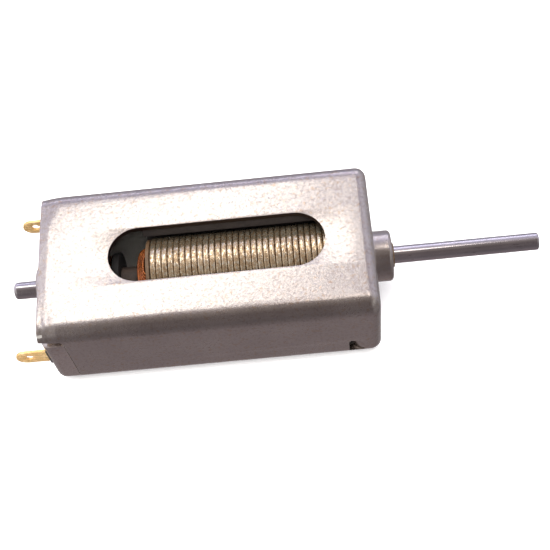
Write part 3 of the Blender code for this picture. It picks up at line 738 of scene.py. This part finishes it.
def make_rear_cover():
    """The drawn steel cover with its bush boss, terminal slots and the notch for the can's tab."""
    front, boss_end = depths("rear_cover")
    rear = COVER_FACE
    rings = [cover_ring(front, 0.0)]
    rings += [cover_ring(rear - back, inset) for back, inset in quarter_round(COVER_ROUND, 8)]
    face = rear - COVER_SHEET
    rings += boss_rings(rear, boss_end, REAR_BOSS_RADIUS, 0.5, 0.6, face, len(rings[0]))
    for back, inset in reversed(quarter_round(COVER_ROUND - COVER_SHEET, 5)):
        rings.append(cover_ring(face - back, COVER_SHEET + inset))
    rings.append(cover_ring(front, COVER_SHEET))
    cover = mesh_object("rear_cover_shell", loft(rings, True))
    notch_half, notch_top = BOTTOM_TAB_HALF + GAP, -4.98
    cutters = [box((front - 1, rear + 1), (-notch_half, notch_half), (-BEYOND_Z, notch_top))]
    for _, sign in SIDES:
        sleeve_slot = on_side(SLEEVE_INNER - GAP, SLEEVE_OUTER + GAP, sign)
        cutters.append(box((35.5, rear + 1), sleeve_slot, (-SLEEVE_HALF - GAP, SLEEVE_HALF + GAP)))
    carve(cover, cutters)
    settle(cover, ["rear_cover"], bevel=0.05, finish=COVER_FINISH)


def make_brush_holder():
    """The moulded holder: a plug in the can's mouth, a floor in the cover, and a sleeve at each terminal."""
    front, rear = depths("brush_holder")
    plug_rear, floor_front, floor, back = 34.7, 34.5, 35.35, 36.2
    slot_z = (-BLADE_SLOT_HALF, BLADE_SLOT_HALF)
    outline = rounded_outline(HALF_WIDTH - SHEET - 0.06, HALF_HEIGHT - SHEET - 0.07, 1.17, 8, 3)
    holder = mesh_object("holder_plug", prism(outline, front, plug_rear))
    cavity = rounded_outline(7.6, 2.55, 0.6, 6, 3)
    carve(holder, [prism(cavity, front - 1, 36)])
    settle(holder, ["brush_holder"], bevel=0.06)
    body = mesh_object("holder_floor", prism(rounded_outline(8.6, 3.0, 0.9, 8, 3), floor_front, back))
    cutters = [prism(cavity, 33, floor), prism(circle(2.3, 48), floor - 1, back + 1)]
    for _, sign in SIDES:
        cutters.append(box((34.3, back + 1), on_side(*BLADE_SLOT, sign), slot_z))
    carve(body, cutters)
    settle(body, ["brush_holder"], bevel=0.05)
    for hand, sign in SIDES:
        sleeve_y = on_side(SLEEVE_INNER, SLEEVE_OUTER, sign)
        block = box((back - 0.1, rear), sleeve_y, (-SLEEVE_HALF, SLEEVE_HALF))
        sleeve = mesh_object(f"holder_sleeve_{hand}", block)
        carve(sleeve, [box((back - 1, rear + 1), on_side(*BLADE_SLOT, sign), slot_z)])
        settle(sleeve, ["brush_holder"], bevel=0.03)


def make_bushes():
    """The two plain bushes, each with a narrow nose through its boss's hole."""
    bore, nose_radius, body_radius = 1.035, 1.6, 2.15
    for name, nose_sign, nose_length in (("front_bush", -1, 0.93), ("rear_bush", 1, 0.77)):
        low, high = depths(name)
        nose, inner = (low, high) if nose_sign < 0 else (high, low)
        shoulder = nose - nose_sign * nose_length
        profile = [(inner, bore), (nose, bore), (nose, 1.32), (nose - nose_sign * 0.22, nose_radius)]
        profile += [(shoulder, nose_radius), (shoulder, body_radius), (inner, body_radius)]
        settle(mesh_object(f"{name}_turned", turned(eased(profile, 0.05))), [name])


# ---------------------------------------------------------------- terminals and brush gear


def make_terminals():
    """Solder terminals: brass blades with a round tip, a wire hole, and a leg on the holder's floor."""
    for hand, sign in SIDES:
        node = f"terminal_{hand}"
        front, tip_end = depths(node)
        low, high = in_mm(node)
        half = high.z
        outer = max(abs(low.y), abs(high.y))
        sheet = 0.35
        tip = arc(half, -math.pi / 2, math.pi / 2, 24, (tip_end - half, 0))
        outline = [(front, half), (front, -half)] + tip
        hole = circle(0.5, 28, (tip_end - 1.55, 0))
        blade = mesh_object(f"{node}_blade", plate(outline, *on_side(outer - sheet, outer, sign), "Y", hole))
        settle(blade, [node], bevel=0.05)
        leg_z = (-half + 0.05, half - 0.05)
        leg = box((front + 0.01, front + sheet), on_side(4.2, outer - 0.1, sign), leg_z)
        settle(mesh_object(f"{node}_leg", leg), [node], bevel=0.04)


def make_brush_gear():
    """Leaf springs on the terminals' legs, and the carbon brushes that they press on the commutator."""
    for hand, sign in SIDES:
        front, foot = depths(f"brush_arm_{hand}")
        near, sheet, reach, half_width = 4.05, 0.2, 6.5, 1.1
        far, step = 4.25, foot - sheet
        right = [(front, near), (foot, near), (foot, reach), (step, reach), (step, far), (front, far)]
        leaf = [(d, sign * y) for d, y in right]
        arm = mesh_object(f"brush_arm_{hand}_leaf", plate(leaf, -half_width, half_width, "Z"))
        settle(arm, [f"brush_arm_{hand}"], bevel=0.03)
        front, rear = depths(f"brush_{hand}")
        half_height, face_radius, back = 0.9, 2.33, 4.0
        half = math.asin(half_height / face_radius)
        face = [(sign * y, z) for y, z in arc(face_radius, half, -half, 16)]
        block = face + [(sign * back, -half_height), (sign * back, half_height)]
        brush = mesh_object(f"brush_{hand}_block", prism(block, front, rear))
        settle(brush, [f"brush_{hand}"], bevel=0.04)


def make_magnets():
    """Ferrite blocks that fill the can's sides, with a bore round the armature."""
    for hand, sign in SIDES:
        node = f"magnet_{hand}"
        front, rear = depths(node)
        low, high = in_mm(node)
        outer, half_height = max(abs(low.y), abs(high.y)), high.z
        corner, bore, tip = 1.24, 4.95, 3.45
        half = math.acos(tip / bore)
        y, z = outer - corner, half_height - corner
        points = arc(corner, -math.pi / 2, 0, 8, (y, -z)) + arc(corner, 0, math.pi / 2, 8, (y, z))
        points.append((tip + 0.25, half_height))
        points += arc(bore, half, -half, 48)
        points.append((tip + 0.25, -half_height))
        magnet = mesh_object(f"{node}_block", prism([(sign * a, b) for a, b in points], front, rear))
        settle(magnet, [node], bevel=0.12)


def wire_tube(path, radius, sides, closed=False):
    """A tube of a radius along a path of points, in millimetres."""
    rings = []
    count = len(path)
    previous = None
    for i, point in enumerate(path):
        ahead = path[(i + 1) % count] if closed else path[min(i + 1, count - 1)]
        behind = path[i - 1] if closed or i else path[0]
        run = (ahead - behind).normalized()
        if previous is None:
            previous = run.orthogonal().normalized()
        side = (previous - run * previous.dot(run)).normalized()
        previous = side
        up = run.cross(side)
        turn = [math.tau * k / sides for k in range(sides)]
        rings.append([tuple(point + side * radius * math.cos(a) + up * radius * math.sin(a)) for a in turn])
    return loft(rings, closed)


def make_magnet_spring():
    """A U of spring wire along the can's floor that pushes the two magnets apart."""
    front, rear = depths("magnet_spring")
    low, high = in_mm("magnet_spring")
    radius = (high.z - low.z) / 2
    reach, level, bend = high.y - radius, (low.z + high.z) / 2, 1.0
    start = front + radius
    half = [(rear, reach)]
    half += [(start + back, reach - inset) for back, inset in quarter_round(bend, 12)]
    path = [Vector((along(d), y, level)) for d, y in half + [(d, -y) for d, y in reversed(half)]]
    settle(mesh_object("magnet_spring_wire", wire_tube(path, radius, 16)), ["magnet_spring"])


# ---------------------------------------------------------------- armature


def make_shaft():
    """The ground steel shaft, chamfered at its output end and rounded at its rear end."""
    front, rear = depths("shaft")
    radius = in_mm("shaft")[1].z
    profile = [(front, 0.12), (front, 0.45), (front, radius - 0.2), (front + 0.05, radius - 0.09)]
    profile += [(front + 0.16, radius - 0.01), (front + 0.24, radius), (rear - 0.42, radius)]
    profile += [(rear - back, radius - inset) for back, inset in quarter_round(0.36, 6)[1:]]
    rings = [[(along(depth), y, z) for y, z in circle(reach, 72)] for depth, reach in profile]
    settle(mesh_object("shaft_ground", loft(rings, False)), ["shaft"])


def plate_outline(radius, turn):
    """The three-pole plate's outline at a rim radius, turned by an angle."""
    points = []
    base = math.sqrt(HUB_RADIUS**2 - TOOTH_HALF**2)
    for pole in range(POLES):
        middle = math.pi / 2 + math.tau * pole / POLES + turn
        first, last = middle - POLE_HALF_SPAN, middle + POLE_HALF_SPAN
        up = Vector((math.cos(middle), math.sin(middle)))
        across = Vector((up.y, -up.x)) * TOOTH_HALF
        points += [tuple(up * base + across), tuple(up * SHOE_ROOT + across)]
        points.append((SHOE_TIP * math.cos(first), SHOE_TIP * math.sin(first)))
        points += arc(radius, first, last, 18)
        points.append((SHOE_TIP * math.cos(last), SHOE_TIP * math.sin(last)))
        points += [tuple(up * SHOE_ROOT - across), tuple(up * base - across)]
        valley = middle + math.pi / POLES
        points.append((HUB_RADIUS * math.cos(valley), HUB_RADIUS * math.sin(valley)))
    return points


def pole_plate(front, rear, radius, turn, roll):
    """One plate with a rolled-over rim: rings from its front face to its back face, closed in its bore."""
    rings = []
    levels = (
        (front, radius - roll),
        (front + roll * 0.3, radius - roll * 0.3),
        (front + roll, radius),
        (rear - roll, radius),
        (rear - roll * 0.3, radius - roll * 0.3),
        (rear, radius - roll),
    )
    for depth, rim in levels:
        rings.append([(along(depth), y, z) for y, z in plate_outline(rim, turn)])
    outline = plate_outline(radius, turn)
    for depth in (rear, front):
        bore = []
        for y, z in outline:
            angle = math.atan2(z, y)
            bore.append((along(depth), FIXED_BORE * math.cos(angle), FIXED_BORE * math.sin(angle)))
        rings.append(bore)
    return loft(rings, True)


def make_stack():
    """The laminations one by one, each a little out of line with the next, and the end insulators."""
    random.seed(7)
    names = sorted(name for name in frame["nodes"] if name.startswith("lamination_"))
    rim = in_mm(names[0])[1].z
    for name in names:
        front, rear = depths(name)
        turn = random.uniform(-0.006, 0.006)
        radius = rim - random.uniform(0.0, 0.045)
        shift = random.uniform(-0.012, 0.012)
        plate_mesh = pole_plate(front + shift, rear + shift, radius, turn, 0.13)
        settle(mesh_object(f"{name}_plate", plate_mesh), [name], smooth=math.radians(50))
    for name in ("insulator_front", "insulator_rear"):
        front, rear = depths(name)
        settle(mesh_object(f"{name}_plate", pole_plate(front, rear, rim - 0.12, 0.0, 0.05)), [name])


def coil_turns():
    """Where each turn of a winding lies: its distance across from the tooth's middle and its height."""
    turns = []
    pitch = WIRE * 2
    across = COIL_INNER + WIRE
    column = 0
    while across < COIL_OUTER - WIRE * 0.8:
        floor = 1.78 if across < 1.35 else 1.64 + max(0.0, across - 2.3) * 0.45
        roof = 3.36 - (across - COIL_INNER) * 0.53
        up = floor + WIRE + (WIRE if column % 2 else 0.0) * 0.9
        rows = []
        while up < roof - WIRE * 0.7:
            rows.append((across, up))
            up += pitch * 1.01
        turns += rows if column % 2 else list(reversed(rows))
        across += pitch * 0.9
        column += 1
    return turns


def make_windings():
    """Each winding as its turns of enamelled wire round a tooth, bulging over both ends of the stack."""
    random.seed(11)
    front = depths("insulator_front")[0] - GAP
    rear = depths("insulator_rear")[1] + GAP
    for pole in range(POLES):
        name = f"winding_{pole + 1}"
        low, high = depths(name)
        bm_all = bmesh.new()
        for across, up in coil_turns():
            path = []
            wobble = random.uniform(-0.03, 0.03)
            share = (across - COIL_INNER) / COIL_SPAN
            for end, sign, limit in ((rear, 1, high), (front, -1, low)):
                reach = (abs(limit - end) - WIRE) * (0.25 + 0.75 * share)
                for k in range(17):
                    angle = math.pi * k / 16
                    depth = end + sign * reach * math.sin(angle) ** 0.8
                    lift = up + wobble * math.sin(angle * 3) - 0.1 * math.sin(angle) * share
                    width = across * (abs(math.cos(angle)) ** 0.72) * math.copysign(1, math.cos(angle))
                    path.append(Vector((along(depth), sign * width, lift)))
            loop = wire_tube(path, WIRE * 0.96, 8, closed=True)
            mesh = bpy.data.meshes.new("loop")
            loop.to_mesh(mesh)
            loop.free()
            bm_all.from_mesh(mesh)
            bpy.data.meshes.remove(mesh)
        bmesh.ops.rotate(bm_all, matrix=Matrix.Rotation(math.tau * pole / POLES, 3, "X"), verts=bm_all.verts)
        settle(mesh_object(f"{name}_wire", bm_all), [name], smooth=math.radians(60))


def make_commutator():
    """The moulded hub, copper segments with their risers, the retaining ring and the ring varistor."""
    front, rear = depths("commutator_hub")
    segment_front, segment_rear = depths("commutator_segment_1")
    step = segment_front - GAP
    hub = [(front, FIXED_BORE), (front, 1.55), (step, 1.55), (step, 1.9), (rear, 1.9), (rear, FIXED_BORE)]
    settle(mesh_object("commutator_hub_moulded", turned(eased(hub, 0.05))), ["commutator_hub"])
    riser = segment_front + 0.35
    section = [(segment_front, 1.94), (segment_front, 3.0), (riser, 3.0), (riser, 2.3)]
    section += [(segment_rear, 2.3), (segment_rear, 1.94)]
    sweep = math.radians(113)
    for index in range(POLES):
        start = math.radians(30) + math.tau * index / POLES - sweep / 2
        segment = mesh_object(f"commutator_segment_{index + 1}_copper", turned(section, 36, start, sweep))
        settle(segment, [f"commutator_segment_{index + 1}"], bevel=0.04)
    for name, outer, inner in (("commutator_ring", 2.8, 2.34), ("varistor", 3.3, 1.62)):
        front, rear = depths(name)
        settle(mesh_object(f"{name}_turned", tube(front, rear, outer, inner)), [name])
    for name, outer in (("front_spacer", 1.5), ("thrust_washer", 1.9), ("rear_collar", 1.7)):
        front, rear = depths(name)
        settle(mesh_object(f"{name}_turned", tube(front, rear, outer)), [name])


# ---------------------------------------------------------------- stage


# Sky colours from straight down (0) through the horizon (0.5) to straight up (1), on the camera's side and
# on the far side
NEAR_SKY = (
    (0.0, (0.205, 0.172, 0.178)),
    (0.14, (0.165, 0.138, 0.145)),
    (0.48, (0.11, 0.094, 0.098)),
    (0.72, (0.12, 0.100, 0.102)),
    (0.90, (0.11, 0.090, 0.090)),
    (1.0, (0.20, 0.17, 0.16)),
)
FAR_SKY = (
    (0.0, (0.30, 0.280, 0.285)),
    (0.46, (0.30, 0.285, 0.33)),
    (0.54, (0.38, 0.365, 0.48)),
    (0.78, (0.45, 0.43, 0.57)),
    (0.94, (0.48, 0.44, 0.48)),
    (1.0, (0.34, 0.29, 0.28)),
)
# The same beyond either end of the motor
NEAR_ENDS_SKY = (
    (0.08, (0.17, 0.143, 0.150)),
    (0.30, (0.27, 0.245, 0.25)),
    (0.60, (0.26, 0.235, 0.24)),
    (0.72, (0.52, 0.49, 0.48)),
    (1.0, (0.46, 0.42, 0.41)),
)
FAR_ENDS_SKY = (
    (0.08, (0.30, 0.280, 0.29)),
    (0.46, (0.54, 0.515, 0.57)),
    (0.78, (0.76, 0.73, 0.86)),
    (1.0, (0.56, 0.51, 0.50)),
)
# The X of a direction at which the end skies start, and at which they are full
ENDS = (0.32, 0.62)
SKY_STRENGTH = 1.22
FRONT_DIM = 0.7  # brightness of the sky past the output end

# Lengths from here on are in metres
FLOOR_HALF = 0.3
FLOOR_DROP = 0.00002
FLOOR_GLOW = 0.3
BACKDROP_RADIUS = 3.0

# Name, place, size, radiance, colour, and whether it shows in reflections
LIGHTS = (
    ("key", (-0.092, 0.190, 0.362), (0.28, 0.095), 2.35, (1.0, 0.965, 0.90), True),
    ("front_glow", (0.066, 0.100, 0.407), (0.10, 0.07), 2.4, (1.0, 0.92, 0.86), True),
    ("rim", (-0.02, 0.42, 0.150), (0.50, 0.022), 2.6, (0.90, 0.90, 1.0), True),
    ("shaft_glow", (0.11, 0.36, 0.21), (0.14, 0.13), 0.75, (0.93, 0.90, 1.0), True),
    ("wash", (-0.03, 0.02, 0.60), (0.90, 0.90), 3.6, (1.0, 1.0, 1.0), False),
)

# The camera's place from the shaft's axis at the can's front face, and its angles in radians
CAMERA_OFFSET = (-0.006105, -0.063190, 0.111917)
CAMERA_YAW = 0.085
CAMERA_ELEVATION = 1.063
CAMERA_ROLL = -0.170
FOCAL_LENGTH = 73.03  # millimetres, on a sensor 36 mm wide


def stage_object(name, bm):
    """A bmesh in metres as an object that belongs to the studio and not to the motor."""
    mesh = bpy.data.meshes.new(name)
    bm.to_mesh(mesh)
    bm.free()
    made = bpy.data.objects.new(name, mesh)
    bpy.context.scene.collection.objects.link(made)
    return made


def set_glow(shader, strength):
    """Gives a shader a white emission."""
    shader.inputs["Emission Color"].default_value = (1.0, 1.0, 1.0, 1.0)
    shader.inputs["Emission Strength"].default_value = strength


def make_floor():
    """A plain pale floor that the motor does not reflect."""
    bm = bmesh.new()
    bmesh.ops.create_grid(bm, x_segments=4, y_segments=4, size=FLOOR_HALF)
    floor = stage_object("floor", bm)
    floor.location.z = cad_box[0][2] - FLOOR_DROP
    floor.visible_glossy = False
    material, tree, shader = shader_material("floor_paper")
    paper = noise_fac(tree, 40.0, 3.0, 0.5)
    tree.links.new(ramp(tree, paper, ((0.3, 0.93), (0.7, 0.95))), shader.inputs["Base Color"])
    shader.inputs["Roughness"].default_value = 0.9
    shader.inputs["Specular IOR Level"].default_value = 0.0
    set_glow(shader, FLOOR_GLOW)
    floor.data.materials.append(material)


def make_backdrop():
    """A white shell round the studio that only the camera sees."""
    bm = bmesh.new()
    bmesh.ops.create_icosphere(bm, subdivisions=4, radius=BACKDROP_RADIUS)
    backdrop = stage_object("backdrop", bm)
    backdrop.visible_diffuse = False
    backdrop.visible_glossy = False
    backdrop.visible_transmission = False
    backdrop.visible_shadow = False
    material, _, shader = shader_material("backdrop_paper")
    shader.inputs["Base Color"].default_value = (0.0, 0.0, 0.0, 1.0)
    set_glow(shader, 1.0)
    backdrop.data.materials.append(material)


def smooth_rise(tree, value, low, high):
    """A factor that rises smoothly from 0 to 1 as a value goes from low to high."""
    node = tree.nodes.new("ShaderNodeMapRange")
    node.interpolation_type = "SMOOTHSTEP"
    node.inputs["From Min"].default_value = low
    node.inputs["From Max"].default_value = high
    tree.links.new(value, node.inputs["Value"])
    return node.outputs["Result"]


def make_sky():
    """The dim studio that the metal reflects: darker on the camera's side and past the output end."""
    world = bpy.data.worlds.new("studio")
    bpy.context.scene.world = world
    world.use_nodes = True
    tree = world.node_tree
    where = tree.nodes.new("ShaderNodeTexCoord")
    split = tree.nodes.new("ShaderNodeSeparateXYZ")
    tree.links.new(where.outputs["Generated"], split.inputs["Vector"])
    height = tree.nodes.new("ShaderNodeMapRange")
    height.inputs["From Min"].default_value = -1.0
    tree.links.new(split.outputs["Z"], height.inputs["Value"])
    height = height.outputs["Result"]
    away = tree.nodes.new("ShaderNodeMath")
    away.operation = "ABSOLUTE"
    tree.links.new(split.outputs["X"], away.inputs[0])
    ends = ramp(tree, away.outputs["Value"], ((ENDS[0], 0.0), (ENDS[1], 1.0)))
    near = mix(tree, ends, ramp(tree, height, NEAR_SKY), ramp(tree, height, NEAR_ENDS_SKY))
    far = mix(tree, ends, ramp(tree, height, FAR_SKY), ramp(tree, height, FAR_ENDS_SKY))
    sky = mix(tree, smooth_rise(tree, split.outputs["Y"], -0.25, 0.45), near, far)
    dim = ramp(tree, smooth_rise(tree, split.outputs["X"], 0.1, 0.8), ((0.0, 1.0), (1.0, FRONT_DIM)))
    sky = mix(tree, 1.0, sky, dim, "MULTIPLY")
    tree.links.new(sky, tree.nodes["Background"].inputs["Color"])
    tree.nodes["Background"].inputs["Strength"].default_value = SKY_STRENGTH


def make_lights():
    """The soft lamps, each turned to the middle of the floor."""
    for name, place, size, radiance, colour, glossy in LIGHTS:
        lamp = bpy.data.lights.new(name, "AREA")
        lamp.shape = "RECTANGLE"
        lamp.size, lamp.size_y = size
        lamp.energy = radiance * math.pi * size[0] * size[1]
        lamp.color = colour
        light = bpy.data.objects.new(name, lamp)
        light.location = place
        light.rotation_euler = (-Vector(place)).to_track_quat("-Z", "Y").to_euler()
        light.visible_glossy = glossy
        bpy.context.scene.collection.objects.link(light)


def make_camera():
    """The camera, high on the motor's left side and a little towards its output end."""
    lens = bpy.data.cameras.new("camera")
    lens.lens = FOCAL_LENGTH
    lens.sensor_width = 36.0
    lens.clip_start = 0.005
    camera = bpy.data.objects.new("camera", lens)
    turn = Matrix.Rotation(CAMERA_YAW, 4, "Z") @ Matrix.Rotation(math.pi / 2 - CAMERA_ELEVATION, 4, "X")
    x, y, z = CAMERA_OFFSET
    place = Matrix.Translation((FACE_X * MM + x, y, AXIS_Z + z))
    camera.matrix_world = place @ turn @ Matrix.Rotation(CAMERA_ROLL, 4, "Z")
    bpy.context.scene.collection.objects.link(camera)
    bpy.context.scene.camera = camera


make_camera()
make_floor()
make_backdrop()
make_sky()
make_lights()
make_can()
make_lances()
make_rear_cover()
make_brush_holder()
make_bushes()
make_terminals()
make_brush_gear()
make_magnets()
make_magnet_spring()
make_shaft()
make_stack()
make_windings()
make_commutator()
bpy.context.scene.view_settings.view_transform = "Standard"
